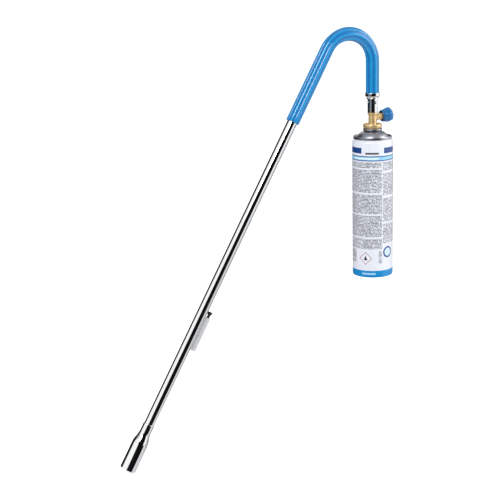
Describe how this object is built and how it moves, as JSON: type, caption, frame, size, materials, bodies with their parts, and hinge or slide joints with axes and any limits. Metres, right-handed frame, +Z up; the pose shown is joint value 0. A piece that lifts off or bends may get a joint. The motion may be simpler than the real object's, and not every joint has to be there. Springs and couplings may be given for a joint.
{
  "type": "propane torch",
  "caption": "Long-reach gas torch: cane-shaped chromed lance with a fluted grip, needle valve, push-button igniter and a screw-on cartridge below the bend.",
  "frame": {"origin": "centre of the burner's open mouth", "axes": "+Z up; the lance rises from the mouth in the XZ plane at 30 degrees from upright, towards +X; the cartridge hangs upright below the bend"},
  "size_m": [0.4807, 0.065, 0.6519],
  "materials": {
    "chrome": "polished chrome plate",
    "grip_blue": "soft glossy sleeve",
    "knob_blue": "moulded, glossy",
    "brass": "machined",
    "steel": "plain",
    "satin_steel": "satin",
    "printed_steel": "printed white",
    "base_paint": "printed blue",
    "tinplate": "tinplate",
    "inner_plastic": "natural",
    "black_plastic": "moulded",
    "white_ceramic": "glazed",
    "lead_insulation": "silicone insulation",
    "seal_rubber": "nitrile"
  },
  "bodies": {
    "torch": {"lance_tube": "chrome", "grip_sleeve": "grip_blue", "grip_ferrule": "chrome", "burner_head": "chrome", "flame_holder": "brass", "electrode": "steel", "electrode_insulator": "white_ceramic", "igniter_housing": "satin_steel", "igniter_plug": "inner_plastic", "igniter_terminal": "brass", "piezo_cell": "white_ceramic", "piezo_caps": "steel", "button_spring": "steel", "igniter_collar": "black_plastic", "ignition_lead": "lead_insulation", "lead_grommet": "seal_rubber", "valve_body": "brass", "mount_collar": "brass", "socket_seal": "seal_rubber", "opening_pin": "brass", "gas_filter": "steel", "gas_jet": "brass", "spindle_seal": "seal_rubber", "gland_nut": "brass"},
    "hammer": {"igniter_hammer": "steel"},
    "button": {"igniter_button": "black_plastic"},
    "spindle": {"valve_spindle": "brass"},
    "knob": {"valve_knob": "knob_blue", "knob_screw": "steel"},
    "cartridge_feed": {"stem_housing": "inner_plastic", "stem_seal": "seal_rubber", "stem_spring": "steel"},
    "stem": {"cartridge_stem": "inner_plastic"},
    "cartridge": {"can_shell": "printed_steel", "can_dome": "tinplate", "valve_cup": "tinplate", "can_base": "base_paint"}
  },
  "joints": [
    {"name": "button_press", "type": "slide", "parent": "torch", "child": "button", "axis": [-0.5, 0, -0.866], "range_m": [0, 0.005], "stiffness_N_per_m": 3000, "springref_m": -0.002, "deforming": ["button_spring"]},
    {"name": "hammer_strike", "type": "slide", "parent": "torch", "child": "hammer", "axis": [-0.5, 0, -0.866], "range_m": [0, 0.003], "stiffness_N_per_m": 500, "springref_m": -0.001},
    {"name": "spindle_travel", "type": "slide", "parent": "torch", "child": "spindle", "axis": [0.9925, 0, 0.1219], "range_m": [0, 0.002]},
    {"name": "knob_turn", "type": "hinge", "parent": "spindle", "child": "knob", "pos_m": [0.43517, 0, 0.502], "axis": [0.9925, 0, 0.1219], "range_deg": [0, 720]},
    {"name": "cartridge_travel", "type": "slide", "parent": "torch", "child": "cartridge_feed", "axis": [0, 0, -1], "range_m": [0, 0.00816]},
    {"name": "cartridge_turn", "type": "hinge", "parent": "cartridge_feed", "child": "cartridge", "pos_m": [0.43517, 0, 0.4], "axis": [0, 0, -1], "range_deg": [0, 3240]},
    {"name": "stem_press", "type": "slide", "parent": "cartridge_feed", "child": "stem", "axis": [0, 0, -1], "range_m": [0, 0.001], "stiffness_N_per_m": 1500, "springref_m": -0.002, "deforming": ["stem_spring"]}
  ],
  "couplings": [
    {"joint": "knob_turn", "follows": "spindle_travel", "rad_per_m": 6283},
    {"joint": "cartridge_turn", "follows": "cartridge_travel", "rad_per_m": 6926}
  ]
}
